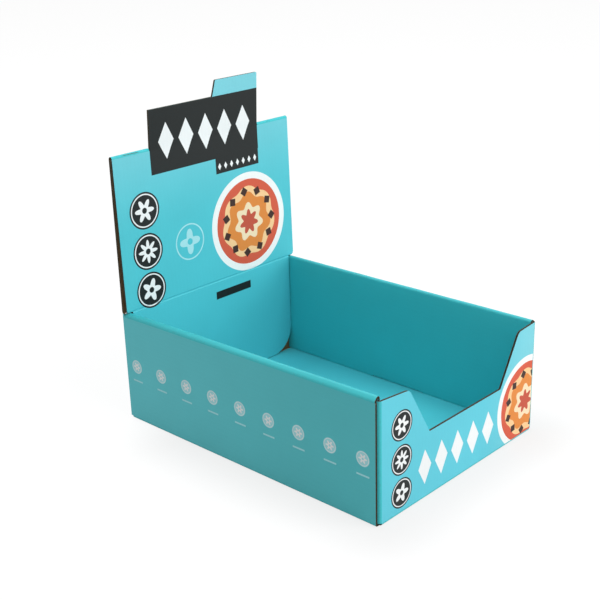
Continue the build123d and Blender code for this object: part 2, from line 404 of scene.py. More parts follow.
def board(middle, normal, keep, flute, fold, finish=OUTSIDE, groove=0.0, joined=False):
    """Closed board along a grid of middle points (rows by columns).

    The outside skin is middle + normal * (half the board - groove), the inside skin is
    middle - normal * half the board, and keep says which cells are board. Each border of the kept
    cells, taken with the board on its left, gets a ladder of faces that steps back along
    normal x direction. Borders between two joined points are left open for the neighbour.
    """
    shape = middle.shape[:2]
    normal = np.broadcast_to(normal, middle.shape)
    flute, fold, groove, joined = (np.broadcast_to(a, shape).ravel() for a in (flute, fold, groove, joined))
    centre, away = middle.reshape(-1, 3), normal.reshape(-1, 3)
    outer = centre + away * (BOARD / 2 - groove)[:, None]
    inner = centre - away * BOARD / 2

    ids = np.arange(len(centre)).reshape(shape)
    a, b, c, d = ids[:-1, :-1], ids[:-1, 1:], ids[1:, 1:], ids[1:, :-1]
    skins = [np.stack([a, b, c, d], axis=-1)[keep], np.stack([d, c, b, a], axis=-1)[keep] + len(centre)]
    around = np.pad(keep, 1)
    sides = [
        (a, b, around[:-2, 1:-1]),
        (b, c, around[1:-1, 2:]),
        (c, d, around[2:, 1:-1]),
        (d, a, around[1:-1, :-2]),
    ]
    edges = np.concatenate([np.stack([p, q], axis=-1)[keep & ~beyond] for p, q, beyond in sides])
    edges = edges[~joined[edges].all(axis=1)]

    rim, where = np.unique(edges, return_inverse=True)
    where = where.reshape(edges.shape)
    inward = np.cross(away[edges[:, 0]], unit(centre[edges[:, 1]] - centre[edges[:, 0]]))
    total = np.zeros((len(rim), 3))
    np.add.at(total, where[:, 0], inward)
    np.add.at(total, where[:, 1], inward)
    in_line = np.linalg.norm(total, axis=1) > STRAIGHT
    single = np.bincount(where.ravel()) < 2
    heights, depths = cut_ladder(flute[rim])
    depths = np.where(single, 0.0, np.where(in_line, depths, np.minimum(depths, SHALLOW)))
    rungs = inner[rim] + heights[1:-1, :, None] * (outer - inner)[rim] + depths[1:-1, :, None] * unit(total)

    fresh = 2 * len(centre) + np.arange(len(rungs) * len(rim)).reshape(len(rungs), -1)
    ladder = np.vstack([rim + len(centre), fresh, rim])
    low, high = ladder[:-1][:, where], ladder[1:][:, where]
    walls = np.stack([low[..., 0], low[..., 1], high[..., 1], high[..., 0]], axis=-1).reshape(-1, 4)

    finish = np.broadcast_to(finish, keep.shape)[keep]
    return {
        "points": np.concatenate([outer, inner, rungs.reshape(-1, 3)]),
        "flute": np.concatenate([flute, flute, np.tile(flute[rim], len(rungs))]),
        "fold": np.concatenate([fold, fold, np.tile(fold[rim], len(rungs))]),
        "faces": np.concatenate([*skins, walls]),
        "finish": np.concatenate([finish, np.full(len(skins[1]), INSIDE), np.full(len(walls), CUT)]),
    }


# %% [markdown]
# ## From stretches to one mesh
#
# The stretches of board share their points along the folds. Rounding every point to a tenth of a
# micrometre finds the shared ones, so the sheet becomes one closed skin, as the real sheet is one
# piece. Counting the edges that do not have two faces shows whether it closed.

# %% Join stretches of board and make the piece
WELD = 1e-4  # millimetres
ODD_SHIFT = 0.317  # keeps round numbers away from the border between two snaps
SHARP = math.radians(25)  # faces that meet at more than this keep a hard edge


def piece(name, parts):
    """One object from several stretches of board, with shared points joined."""
    starts = np.cumsum([0] + [len(part["points"]) for part in parts])
    faces = np.concatenate([part["faces"] + start for part, start in zip(parts, starts)])
    points, flute, fold, finish = (
        np.concatenate([part[key] for part in parts]) for key in ("points", "flute", "fold", "finish")
    )
    snapped = np.floor(points / WELD + ODD_SHIFT).astype(np.int64)
    _, first, shared = np.unique(snapped, axis=0, return_index=True, return_inverse=True)
    used, faces = np.unique(shared.ravel()[faces], return_inverse=True)
    faces, first = faces.reshape(-1, 4), first[used]

    mesh = bpy.data.meshes.new(name)
    mesh.from_pydata((points[first] * MM).tolist(), [], faces.tolist())
    mesh.polygons.foreach_set("material_index", finish.astype(np.int32))
    for key, values in (("flute", flute), ("fold", fold)):
        mesh.attributes.new(key, "FLOAT", "POINT").data.foreach_set("value", values[first].astype(np.float32))
    mesh.shade_smooth()
    mesh.set_sharp_from_angle(angle=SHARP)
    pairs = np.sort(np.stack([faces, np.roll(faces, -1, axis=1)], axis=-1).reshape(-1, 2), axis=1)
    counts = np.unique(pairs, axis=0, return_counts=True)[1]
    print(name, len(first), "points,", 2 * len(faces), "triangles,", int((counts != 2).sum()), "open edges")
    made = bpy.data.objects.new(name, mesh)
    scene.collection.objects.link(made)
    return made


# %% [markdown]
# ## Floor, side walls and rolled tops
#
# The floor, the outer side walls, the narrow rolled tops and the inner walls are one run of board.
# They could be five boxes with bevels, but then the roll would not be one skin. A profile carried
# from the back of the box to its front gives all of them at once. The tops are not level, though: in
# front of the header the board springs up, most at the inner edge of the left wall. So the profile is
# drawn at three places and the run is ruled from one to the next. The places where the run is longer,
# shorter or slotted are cells that are kept or left out.

# %% Profile of the run and the columns that it shares with the end walls
FLUTE_STEP = PITCH / 6  # longest step along a cut that shows the wave
COARSE = 12.0  # longest step on plain paper
TAB_LENGTH = 48.0
TAB_SPACING = 96.0  # middle to middle
TAB_LIFT = 0.3  # the tabs end this far above the table
SLOT_CLEAR = 0.3  # room round a tab in its slot
WINDOW_CLEAR = 0.5  # room round the pop-up in its window
NOTCH_DEPTH = 35.7
NOTCH_SIDE_ANGLE = math.radians(30)
LEFT_POST, RIGHT_POST = 29.3, 21.4  # widths along the top of the front wall
POPUP_WIDTH = 103.5
EAR_WIDTH = 44.5

inner_half = half_width - 3 * BOARD - 2 * LAYER_GAP
flap_half = half_width - BOARD - LAYER_GAP
panel_half = flap_half - bend
popup_half = POPUP_WIDTH / 2
window_half = popup_half + WINDOW_CLEAR
ear_foot = popup_half - EAR_WIDTH
slot_near, slot_far = inner_half - SLOT_CLEAR, inner_half + BOARD + SLOT_CLEAR
notch_run = NOTCH_DEPTH * math.tan(NOTCH_SIDE_ANGLE)
left_foot, right_foot = (half_width - post - notch_run for post in (LEFT_POST, RIGHT_POST))

marks = [panel_half, slot_near, window_half, ear_foot - WINDOW_CLEAR, left_foot, right_foot]
panel_x = stations([side * mark for side in (-1, 1) for mark in marks], FLUTE_STEP)
floor_flat = half_width - bend
floor_x = np.concatenate([[-floor_flat, -slot_far], panel_x, [slot_far, floor_flat]])
print(len(panel_x), "columns across the front wall")

# %% Profile of the run at three places
ROLL_SETBACK = 0.3  # the rolled tops and the inner walls stop this far short of the end folds
RAMP_LENGTH = 25.0  # stretch over which a rolled top comes up from under the header
FOOT_CLEAR = 0.5  # the inner walls end this far above the floor
LEFT_RUN, FLOOR_RUN, RIGHT_RUN = 4, 6, 8  # labels of the outer walls' and the floor's cells
RISES = [  # of the left outer edge, the left lip, the right lip and the right outer edge
    (2.6, 6.1, 1.5, 0.0),  # at the front end
    (0.0, 1.8, 0.6, 0.0),  # where the ramp ends
    (0.0, 0.5, 0.5, 0.0),  # at the back end
]
inner_x, outer_x = inner_half + BOARD / 2, half_width - BOARD / 2
top_z, foot_z = WALL_HEIGHT - BOARD / 2, BOARD + FOOT_CLEAR
inner_places = stations([0, foot_z - TAB_LIFT, top_z - lip_middle - TAB_LIFT], COARSE)
outer_places = stations([0, top_z - roll_middle - bend], FLUTE_STEP)
roll_places = np.array([0.0, 1.0])
run_places = [inner_places, roll_places, outer_places, floor_x + floor_flat]
run_places += [outer_places, roll_places, inner_places[-1] - inner_places[::-1]]
run_radius = [lip_middle, roll_middle, fold_middle, fold_middle, roll_middle, lip_middle]

profiles = []
for left_edge, left_lip, right_lip, right_edge in RISES:
    left = [(-inner_x, TAB_LIFT), (-inner_x, top_z + left_lip), (-outer_x, top_z + left_edge)]
    right_side = [(outer_x, top_z + right_edge), (inner_x, top_z + right_lip), (inner_x, TAB_LIFT)]
    floor_line = [(-outer_x, BOARD / 2), (outer_x, BOARD / 2)]
    profiles.append(folded_line(left + floor_line + right_side, run_radius, run_places))
lines, line_normals = (np.stack([profile[k] for profile in profiles]) for k in (0, 1))
label, bent, across = profiles[1][2:]
on_floor = np.flatnonzero(label == FLOOR_RUN)[0]
across += lines[1, on_floor, 0] - across[on_floor]  # now counted from the middle of the floor
print("profile of", len(across), "points at", len(profiles), "places")

# %% Rows of the run from the back to the front
FRONT_RECESS, BACK_RECESS = 1.8, 0.3  # the side walls' cut ends stand this far behind the end faces
tab_ends = [TAB_SPACING / 2 + side * TAB_LENGTH / 2 for side in (-1, 1)]
slot_ends = [TAB_SPACING / 2 + side * (TAB_LENGTH / 2 + SLOT_CLEAR) for side in (-1, 1)]
roll_end = floor_end - ROLL_SETBACK
tip_front, tip_back = half_depth - FRONT_RECESS, half_depth - BACK_RECESS
profile_y = [-roll_end, roll_end - RAMP_LENGTH, roll_end]
both_ends = [side * y for side in (-1, 1) for y in (*tab_ends, *slot_ends, roll_end, floor_end)]
run_y = stations([*both_ends, *profile_y, -tip_front, tip_back], COARSE)[::-1]
weights = np.stack([np.interp(run_y, profile_y, row) for row in np.eye(3)], axis=1)
run_x, run_z = np.moveaxis(np.tensordot(weights, lines, 1), -1, 0)
normal_x, normal_z = np.moveaxis(np.tensordot(weights, line_normals, 1), -1, 0)

middle_y = (run_y[1:] + run_y[:-1])[:, None] / 2
middle_x = (lines[1, 1:, 0] + lines[1, :-1, 0]) / 2
outer_wall = (label == LEFT_RUN) | (label == RIGHT_RUN)
rolled = (label < LEFT_RUN) | (label > RIGHT_RUN)
front_limit = np.select([outer_wall, rolled], [tip_front, roll_end], floor_end)
back_limit = np.select([outer_wall, rolled], [tip_back, roll_end], floor_end)
from_tab = np.abs(np.abs(middle_y) - TAB_SPACING / 2)
tab_cell = np.arange(len(label)) % (len(label) - 1) == 0
slot = (label == FLOOR_RUN) & (np.abs(middle_x) > slot_near) & (np.abs(middle_x) < slot_far)
keep = (middle_y > -front_limit) & (middle_y < back_limit)
keep &= (from_tab < TAB_LENGTH / 2) | ~tab_cell
keep &= ~(slot & (from_tab < TAB_LENGTH / 2 + SLOT_CLEAR))
print(len(run_y), "rows,", int(keep.sum()), "cells of board")

# %% Board of the run
ROLL_SAG = 0.14  # the hand-rolled top dips by up to this much
RIPPLES = ((0.3, 9.0, 0.0), (0.2, 3.7, 1.0))  # share, length and shift of the dip's two waves
BACK_TIP_CLEAR = 0.3  # the walls' back ends stop this far under the rear leaf
SKEW = 0.012  # the flutes run a little off square to the cuts
on_top = rolled & (label > 0) & (label < label[-1])
on_top = np.append(on_top, False) & np.insert(on_top, 0, False)
ripple = 0.5 + sum(share * np.sin(run_y / length + shift) for share, length, shift in RIPPLES)
run_z -= ROLL_SAG * ripple[:, None] * on_top
past_roll = np.abs(run_y) > roll_end + WELD
tips = [np.flatnonzero(label == LEFT_RUN)[0], np.flatnonzero(label == RIGHT_RUN)[-1] + 1]
tip_z = WALL_HEIGHT - BOARD + weights @ np.array(RISES)[:, [0, 3]]
tip_z[run_y > 0] = WALL_HEIGHT - BACK_TIP_CLEAR
run_z[np.ix_(past_roll, tips)] = tip_z[past_roll]
run_middle = np.stack(np.broadcast_arrays(run_x, run_y[:, None], run_z), axis=-1)
run_normal = unit(np.stack([normal_x, 0 * normal_x, normal_z], axis=-1))
in_seam = (np.abs(lines[1, :, 0]) < panel_half + WELD) & (lines[1, :, 1] < BOARD)
seam = np.isclose(np.abs(run_y), floor_end)[:, None] & in_seam
LEFT_SIDE, FRONT = 3, 4  # finishes of the two printed walls
run = board(
    run_middle,
    run_normal,
    keep,
    flute=across + SKEW * run_y[:, None],
    fold=bent,
    finish=np.where(label == LEFT_RUN, LEFT_SIDE, OUTSIDE),
    joined=seam,
)
print("run of", round(np.ptp(across)), "mm of board,", int(keep.sum()), "cells")

# %% [markdown]
# ## Front and back walls
#
# Both end walls rise from the floor through a fold, turn in at the corners and end in flaps that the
# side walls hold. Seen from above, each is again a folded line, so the columns come from the same
# function and only the heights of the rows differ. The front wall's rows are squeezed under the
# notch's outline, which keeps the slanted cut clean where cut-out cells would make stairs.

# %% Line of an end wall and its rows
CORNER_FLAP = 60.0
FLAP_CLEAR = 0.6  # room above and below a corner flap
FLAPS, PANEL = (0, 4), 2  # labels of an end wall's flap and panel cells
flap_x, face_y = flap_half - BOARD / 2, half_depth - BOARD / 2
flap_tip, leg = half_depth - CORNER_FLAP, floor_end - ROLL_SETBACK / 2
flap_low, flap_high = BOARD + FLAP_CLEAR, WALL_HEIGHT - roll_bend - FLAP_CLEAR
flap_places = stations([0, leg - flap_tip, floor_end - flap_tip], COARSE)
fold_turn = np.linspace(0, math.pi / 2, ARC_STEPS + 1)


def end_line(end):
    """The line of the front (end -1) or back (end 1) wall seen from above, flap to flap."""
    corners = [(-flap_x, -flap_tip), (-flap_x, -face_y), (flap_x, -face_y), (flap_x, -flap_tip)]
    places = [flap_places, panel_x + panel_half, floor_end - flap_tip - flap_places[::-1]]
    points, normals, labels, bent, length = folded_line(corners, fold_middle, places)
    return -end * points, -end * normals, labels, bent, -end * length


def end_wall(end, heights):
    """Grids of an end wall: first the fold up from the floor, then rows at the given heights.

    In the fold the heading turns by a quarter: the middle goes from floor to wall on an arc, and the
    normal from straight down to straight out, as (sin turn) * outwards - (cos turn) * up.
    """
    points, normals, labels, bent, flute = end_line(end)
    turn = np.append(fold_turn, np.full(len(heights), math.pi / 2))[:, None]
    fold_z = bend - fold_middle * np.cos(fold_turn)[:, None]
    z = np.concatenate([np.broadcast_to(fold_z, (len(fold_z), len(points))), heights])
    x = np.broadcast_to(points[:, 0], z.shape)
    y = points[:, 1] - end * fold_middle * (1 - np.sin(turn))
    middle = np.stack([x, y, z], axis=-1)
    out_x, out_y = np.sin(turn) * normals[:, 0], np.sin(turn) * normals[:, 1]
    normal = np.stack([out_x, out_y, 0 * z - np.cos(turn)], axis=-1)
    along = end * (floor_end + fold_middle * np.minimum(turn, math.pi / 2) + np.maximum(z - bend, 0))
    creased = np.maximum(bent, ((turn > 0) & (turn < math.pi / 2)) * 1.0)
    cell_z = (z[1:, 1:] + z[1:, :-1] + z[:-1, 1:] + z[:-1, :-1]) / 4
    flap = np.isin(labels, FLAPS) & (np.abs(points[1:, 1] + points[:-1, 1]) < 2 * leg)
    keep = (cell_z > bend) | (labels == PANEL)
    keep &= ~flap | ((cell_z > flap_low) & (cell_z < flap_high))
    seam = (np.arange(len(z)) == 0)[:, None]
    return middle, normal, keep, flute + SKEW * along, creased, labels, cell_z, seam


# %% Front wall under the outline of its notch
LEFT_POST_RISE = 1.9  # the left post's outer end springs up this far, with the wall beside it
LEFT_POST_SLOPE, RIGHT_POST_SLOPE = math.radians(5.5), math.radians(4)
POST_RADIUS = 5.0
LEVEL_DROP = 1.0  # rows stay level up to this far below the notch
ROW_SHARE = 0.25  # longest step between the rows above that, of the way up
notch_z = WALL_HEIGHT - NOTCH_DEPTH
level_to = notch_z - LEVEL_DROP


def post_top(out, foot, slope, rise):
    """Height of the wall at a distance out from the middle, on one side of the notch.

    It is the lower of two lines: the notch's slanted side from its foot, and the post's top, which
    falls towards the notch. An arc rounds their corner: its centre is where both lines meet once they
    are moved into the board by the radius.
    """
    steep, gentle = 1 / math.tan(NOTCH_SIDE_ANGLE), math.tan(slope)
    end_z = WALL_HEIGHT + rise
    side = notch_z + (out - foot) * steep
    top = end_z - (flap_half - out) * gentle
    side_drop, top_drop = POST_RADIUS * math.hypot(1, steep), POST_RADIUS * math.hypot(1, gentle)
    apart = end_z - flap_half * gentle - top_drop - notch_z + foot * steep + side_drop
    centre = apart / (steep - gentle)
    centre_z = end_z - (flap_half - centre) * gentle - top_drop
    arc = centre_z + np.sqrt(np.maximum(POST_RADIUS**2 - (out - centre) ** 2, 0))
    start = centre - POST_RADIUS * math.cos(NOTCH_SIDE_ANGLE)
    stop = centre - POST_RADIUS * math.sin(slope)
    return np.where((out > start) & (out < stop), arc, np.minimum(side, top))


front_x = end_line(-1)[0][:, 0]
left_top = post_top(-front_x, left_foot, LEFT_POST_SLOPE, LEFT_POST_RISE)
right_top = post_top(front_x, right_foot, RIGHT_POST_SLOPE, 0.0)
front_top = np.maximum(np.where(front_x < 0, left_top, right_top), notch_z)
flap_share = (flap_high - level_to) / (WALL_HEIGHT - level_to)
low_rows = stations([bend, flap_low, level_to], COARSE)[1:]
shares = stations([0, flap_share, 1], ROW_SHARE)[1:]
low_z = np.broadcast_to(low_rows[:, None], (len(low_rows), len(front_x)))
level_top = np.minimum(front_top, WALL_HEIGHT)
above_flap = np.clip((shares - flap_share) / (1 - flap_share), 0, 1)[:, None]
high_z = level_to + (level_top - level_to) * shares[:, None] + (front_top - level_top) * above_flap
front_heights = np.concatenate([low_z, high_z])
middle, normal, keep, flute, creased, labels, cell_z, seam = end_wall(-1, front_heights)
printed_panel = np.where((labels == PANEL) & (cell_z > bend), FRONT, OUTSIDE)
front_wall = board(middle, normal, keep, flute, creased, finish=printed_panel, joined=seam)
print("front wall rises from", round(float(front_top.min()), 1), "to", round(float(front_top.max()), 1), "mm")

# %% [markdown]
# ## Rear leaf of the header
#
# The lid of the box stands straight up from the back wall and carries a window where the pop-up was
# cut out of it. Back wall and leaf are one grid: above the crease the columns of the corner flaps are
# used again, laid flat, for the leaf's two side strips.

# %% Back wall and rear leaf with the pop-up's window
CREASE_RISE = 0.9  # the front leaf's free corners stand this far above the walls
CREASE_WIDTH = 2.0  # pressed groove along a crease
CREASE_DEPTH = 0.35
CREASE_ROWS = 7
POPUP_RISE = 26.5  # of the pop-up above the fold
EAR_SLANT = 2.8  # run of the ear's left side
SLANT_REACH = 30.0  # columns come back upright over this height below the ear's sill
fold_outer = half_depth - hinge_y
popup_top = hinge_z + fold_outer + POPUP_RISE
ear_top = leaf_high[2]
crease_z = WALL_HEIGHT + CREASE_RISE
sill, ear_sill = (2 * hinge_z - top - WINDOW_CLEAR for top in (popup_top, ear_top))


def pressed(distance):
    """Depth of the round-bottomed crease at a distance from its middle."""
    radius = (CREASE_WIDTH**2 / 4 + CREASE_DEPTH**2) / (2 * CREASE_DEPTH)
    return np.maximum(np.sqrt(np.maximum(radius**2 - distance**2, 0)) - radius + CREASE_DEPTH, 0)


groove_rows = CREASE_WIDTH / 2 * np.linspace(-1, 1, CREASE_ROWS)
corner_top = WALL_HEIGHT - CREASE_RISE
back_levels = [bend, flap_low, flap_high, corner_top, ear_sill, sill, hinge_z]
back_levels += list(WALL_HEIGHT + groove_rows)
back_rows = stations(back_levels, COARSE)[1:]
back_heights = np.broadcast_to(back_rows[:, None], (len(back_rows), len(front_x)))
middle, normal, keep, flute, creased, labels, cell_z, seam = end_wall(1, back_heights)

row_z = middle[:, 0, 2]
strip = np.linspace(half_width, panel_half, int((labels < PANEL).sum()) + 1)[:-1]
leaf_x = np.concatenate([strip, -panel_x, -strip[::-1]])
leaf_row = (row_z > WALL_HEIGHT - WELD)[:, None]
# the window's edge below the ear leans as the ear's left side does
slant = np.interp(row_z, [ear_sill - SLANT_REACH, ear_sill, sill], [0, 1, 0])[:, None]
pull = np.interp(leaf_x, [-window_half, ear_foot - WINDOW_CLEAR, window_half], [0, 1, 0])
middle[..., 0] = np.where(leaf_row, leaf_x + EAR_SLANT * slant * pull, middle[..., 0])
middle[..., 1] = np.where(leaf_row, face_y, middle[..., 1])
normal = np.where(leaf_row[..., None], [0, 1, 0], normal)
flute = np.where(leaf_row, leaf_x + SKEW * (floor_end + row_z[:, None]), flute)

leaf_mid = (leaf_x[1:] + leaf_x[:-1]) / 2
keep &= (labels == PANEL) | (cell_z < corner_top)
keep |= cell_z > WALL_HEIGHT
window_sill = np.where(leaf_mid > ear_foot - WINDOW_CLEAR, ear_sill, sill)
keep &= ~((np.abs(leaf_mid) < window_half) & (cell_z > window_sill))
groove = pressed(row_z - WALL_HEIGHT)[:, None]
creased = np.maximum(np.where(leaf_row, 0, creased), groove / CREASE_DEPTH)
back_wall = board(middle, normal, keep, flute, creased, groove=groove, joined=seam)

tray_board = piece("tray_board", [run, front_wall, back_wall])

# %% [markdown]
# ## Front leaf, pop-up and tuck flap
#
# The front leaf leans back a little from the crease to the top fold, the pop-up above it leans
# forward, and the tuck flap hangs straight down inside the tray. Seen from the side this is one line
# with two soft bends. Seen from the front, the outline is followed by moving the rows: they bunch up
# round the tuck flap's large corners and under the ear's small ones.

# %% Side line and front outline of the front leaf
FOOT_GAP = 2.6  # air between the two leaves at the lower crease
SOFT_RADIUS = 30.0
POPUP_LEAN = math.radians(3)
LEAF_CORNER = 2.0
EAR_RADIUS = 1.0
TUCK_SIDE_CLEAR = 0.5
TUCK_RADIUS = 21.0
tuck_half, tuck_foot = inner_half - TUCK_SIDE_CLEAR, leaf_low[2]
tuck_y = half_depth - BOARD - FOOT_GAP - BOARD / 2
leaf_y = hinge_y - fold_outer + BOARD / 2
leaf_lean = math.atan((leaf_y - tuck_y) / (hinge_z - crease_z))


def soft_ramp(distance, turn):
    """0 before the bend and the distance after it, with a parabola over the length of the soft bend."""
    reach = SOFT_RADIUS * math.tan(turn / 2)
    return np.where(np.abs(distance) < reach, (distance + reach) ** 2 / (4 * reach), np.maximum(distance, 0))


def leaf_line(z):
    """Y of the leaf's middle: upright to the crease, leaning back to the hinge, forward above it."""
    back_part = math.tan(leaf_lean) * soft_ramp(z - crease_z, leaf_lean)
    turn = leaf_lean + POPUP_LEAN
    return tuck_y + back_part - (math.tan(leaf_lean) + math.tan(POPUP_LEAN)) * soft_ramp(z - hinge_z, turn)


def rounded(distance, radius):
    """How far a rounded corner stands in from the edge, at a distance from the end of the edge."""
    left_over = np.clip(radius - distance, 0, radius)
    return radius - np.sqrt(radius**2 - left_over**2)


# %% Grid of the front leaf
TUCK_STEPS, CORNER_STEPS = 36, 6  # flat steps in a large and in a small corner
SOFT_REACH, SOFT_ROWS = 1.1, 5  # rows across the soft bend at the hinge
EVEN_ROWS = 9  # of the tuck flap, and of the ear
DECIMALS = 5  # of a column's place
quarter = np.linspace(0, math.pi / 2, TUCK_STEPS + 1)
few = quarter[:: TUCK_STEPS // CORNER_STEPS]
tuck_round = tuck_half - TUCK_RADIUS * (1 - np.sin(quarter))
corner_round = half_width - LEAF_CORNER * (1 - np.sin(few))
ear_round = EAR_RADIUS * (1 - np.cos(few))
side = np.concatenate([stations([popup_half, tuck_round[0]], FLUTE_STEP), tuck_round])
side = np.concatenate([side, stations([tuck_half, corner_round[0]], FLUTE_STEP), corner_round])
centre = stations([-popup_half, ear_foot + EAR_RADIUS, popup_half - EAR_RADIUS], FLUTE_STEP)
leaf_x = np.concatenate([-side, centre, ear_foot + ear_round, popup_half - ear_round, side])
leaf_x = np.unique(np.round(leaf_x, DECIMALS))

soft_rows = SOFT_REACH * np.linspace(-1, 1, SOFT_ROWS)
level = stations([*crease_z + groove_rows, *hinge_z + soft_rows, popup_top], COARSE)
share = np.linspace(0, 1, EVEN_ROWS)[:, None]
foot = tuck_foot + rounded(tuck_half - np.abs(leaf_x), TUCK_RADIUS)
tuck_z = foot + (level[0] - foot) * share[:-1]
lift = rounded(half_width - np.abs(leaf_x), LEAF_CORNER)
fade = np.clip((hinge_z - level) / (hinge_z - crease_z), 0, 1) * (level > crease_z - WELD)
level_z = level[:, None] + lift * fade[:, None]
ear_edge = ear_top - rounded(np.minimum(leaf_x - ear_foot, popup_half - leaf_x), EAR_RADIUS)
ear_z = popup_top + (ear_edge - popup_top) * share[1:]
leaf_z = np.concatenate([tuck_z, level_z, ear_z])
tuck_rows = tuck_foot + (level[0] - tuck_foot) * share[:-1, 0]
ear_rows = popup_top + (ear_top - popup_top) * share[1:, 0]
row_z = np.concatenate([tuck_rows, level, ear_rows])
shear = np.clip((row_z - popup_top) / (ear_top - popup_top), 0, 1)[:, None]
ear_pull = np.clip((popup_half - leaf_x) / EAR_WIDTH, 0, 1)
grid_x = leaf_x + EAR_SLANT * shear * ear_pull
middle = np.stack([grid_x, leaf_line(leaf_z), leaf_z], axis=-1)

cell_z = ((row_z[1:] + row_z[:-1]) / 2)[:, None]
cell_x = (leaf_x[1:] + leaf_x[:-1]) / 2
reach = np.select([cell_z < crease_z, cell_z < hinge_z], [tuck_half, half_width], popup_half)
keep = (np.abs(cell_x) < reach) & ~((cell_z > popup_top) & (cell_x < ear_foot))
groove = pressed(row_z - crease_z)[:, None]
flute = leaf_x + SKEW * leaf_z
front_leaf = board(middle, np.array([0.0, -1.0, 0.0]), keep, flute, groove / CREASE_DEPTH, groove=groove)
header_board = piece("header_board", [front_leaf])

# %% [markdown]
# ## Top fold
#
# Along the header's two shoulders the sheet turns over from the rear leaf to the front leaf. This is the fold
# that opens. The strip is a half ring about the hinge.

# %% Half rings along the two shoulders
END_CLEAR = 0.05  # keeps the strip's ends inside the leaves' ends
ring = np.linspace(0, math.pi, 4 * ARC_STEPS + 1)[:, None]
ring_radius = fold_outer - BOARD / 2
strips = []
for ends in ((half_width - END_CLEAR, window_half), (-window_half, -half_width + END_CLEAR)):
    x = stations(ends, COARSE)[::-1]
    grid = np.broadcast_arrays(x, hinge_y + ring_radius * np.cos(ring), hinge_z + ring_radius * np.sin(ring))
    way = np.stack(np.broadcast_arrays(0 * x, np.cos(ring), np.sin(ring)), axis=-1)
    cells = np.ones((len(ring) - 1, len(x) - 1), bool)
    strips.append(board(np.stack(grid, axis=-1), way, cells, x, np.sin(ring)))
header_fold = piece("header_fold", strips)

# %% [markdown]
# ## Paper and ink
#
# Every surface of the box is paper: printed liner, bare liner, or a cut through the board. Seen close,
# printed board is never one colour. The ink lies in soft blotches, the fibres give it a fine tooth, the
# wave below shows through as faint stripes, and the ink cracks along the folds. All materials need
# these four effects, so they are one node group. It is fed the place in millimetres and the two values
# that each mesh stores: the distance across the flutes, and whether the board is folded there.

# %% Node group for the surface of printed board
EDGE_SOFT = 0.12  # millimetres over which a printed edge fades
BLOTCH_SCALE, FIBRE_SCALE, CRACK_SCALE = 0.03, 1.4, 0.8  # features per millimetre
SHADE_BASE, BLOTCH_SHADE, FIBRE_SHADE, WAVE_SHADE = 0.92, 0.10, 0.06, 0.005
CRACK_START, CRACK_FULL = 0.48, 0.68  # noise values between which a crack opens
ROUGH_BASE, FIBRE_ROUGH = 0.42, 0.16
WAVE_HEIGHT = 0.25  # of the height of the fibres
SOCKET_KINDS = {"Place": "Vector", "Color": "Color"}  # all others are plain values


def node_group(name, inputs, outputs):
    """A new node group with its named sockets: the tree, what comes in and what goes out."""
    tree = bpy.data.node_groups.new(name, "ShaderNodeTree")
    for direction, labels in (("INPUT", inputs), ("OUTPUT", outputs)):
        for label in labels:
            kind = "NodeSocket" + SOCKET_KINDS.get(label, "Float")
            tree.interface.new_socket(label, in_out=direction, socket_type=kind)
    return tree, numbers(tree.nodes.new("NodeGroupInput")), tree.nodes.new("NodeGroupOutput").inputs


def within(distance):
    """1 where a signed distance is below zero, 0 where it is above, with a soft step between."""
    return ramp(distance, EDGE_SOFT, -EDGE_SOFT, bend="SMOOTHSTEP")


def noise(place, scale, detail):
    """Cloudy noise from 0 to 1 with features of about 1 / scale."""
    return Number(put(place.tree, "TexNoise", {"Vector": place, "Scale": scale, "Detail": detail}).outputs[0])


effects = ("Shade", "Rub", "Roughness", "Height")
board_surface, given, made = node_group("board_surface", ("Place", "Flute", "Fold"), effects)
blotch = noise(given["Place"], BLOTCH_SCALE, detail=3.0)
fibre = noise(given["Place"], FIBRE_SCALE, detail=4.0)
crack = noise(given["Place"], CRACK_SCALE, detail=3.0)
wave = calc("SINE", given["Flute"] * (2 * math.pi / PITCH))
feed(made["Shade"], blotch * BLOTCH_SHADE + fibre * FIBRE_SHADE + wave * WAVE_SHADE + SHADE_BASE)
feed(made["Rub"], ramp(crack * given["Fold"], CRACK_START, CRACK_FULL))
feed(made["Roughness"], fibre * FIBRE_ROUGH + ROUGH_BASE)
feed(made["Height"], wave * WAVE_HEIGHT + fibre)
print("board surface from", len(board_surface.nodes), "nodes")

# %% [markdown]
# ## Shapes of the print
#
# The print is flat colour in simple shapes. An image would do it, but a shape worked out from
# distances stays sharp at any size and needs no picture. Each shape is a node group that answers how
# much of a point it covers, from the point's place on the panel in millimetres.

# %% Node groups for bars and rows of lozenges
AROUND = ("Across", "Up", "Middle across", "Middle up")


def from_middle(given):
    """Distances across and up from a shape's middle."""
    return given["Across"] - given["Middle across"], given["Up"] - given["Middle up"]


def from_nearest(place, pitch, reach):
    """Distance from the nearest point of an even row that goes reach points each way from zero."""
    step = calc("ROUND", place / pitch)
    step = calc("MINIMUM", calc("MAXIMUM", step, reach * -1.0), reach)
    return place - step * pitch


bar, given, made = node_group("bar", ("Across", "Up", "Left", "Right", "Bottom", "Top"), ["Mask"])
past_side = calc("MAXIMUM", given["Left"] - given["Across"], given["Across"] - given["Right"])
past_end = calc("MAXIMUM", given["Bottom"] - given["Up"], given["Up"] - given["Top"])
feed(made["Mask"], within(calc("MAXIMUM", past_side, past_end)))

sizes = ("Pitch", "Reach", "Half width", "Half height")
lozenge_row, given, made = node_group("lozenge_row", AROUND + sizes, ["Mask"])
aside, above = from_middle(given)
aside = from_nearest(aside, given["Pitch"], given["Reach"])
size = abs(aside) / given["Half width"] + abs(above) / given["Half height"] - 1.0
feed(made["Mask"], within(size * given["Half width"]))
print("bar from", len(bar.nodes), "nodes, row of lozenges from", len(lozenge_row.nodes))

